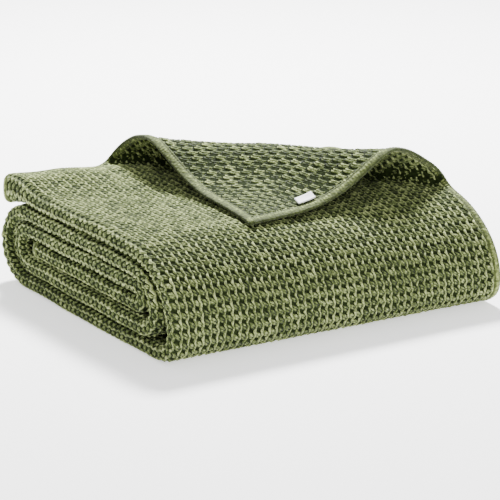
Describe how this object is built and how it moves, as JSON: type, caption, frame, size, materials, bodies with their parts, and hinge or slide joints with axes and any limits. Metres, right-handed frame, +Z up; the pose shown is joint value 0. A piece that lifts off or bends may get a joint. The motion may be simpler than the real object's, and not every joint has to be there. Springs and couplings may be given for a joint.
{
  "type": "throw blanket",
  "caption": "Open-knit throw blanket folded into a thick rectangular stack, with one corner of the top layer turned back to show its hem and a small label.",
  "frame": {"origin": "middle of the bounding box, at the height of the surface the stack rests on", "axes": "+X along the folded length, towards the open edges of the plies; +Y towards the back, where the strip's free end lies; +Z up; the rounded front of the stack faces -Y"},
  "size_m": [0.3272, 0.3002, 0.1319],
  "materials": {
    "knitted cotton": "sage green open honeycomb knit, matt",
    "white tape": "plain white woven tape, matt"
  },
  "bodies": {
    "root": {"blanket": "knitted cotton", "label": "white tape"}
  },
  "joints": []
}
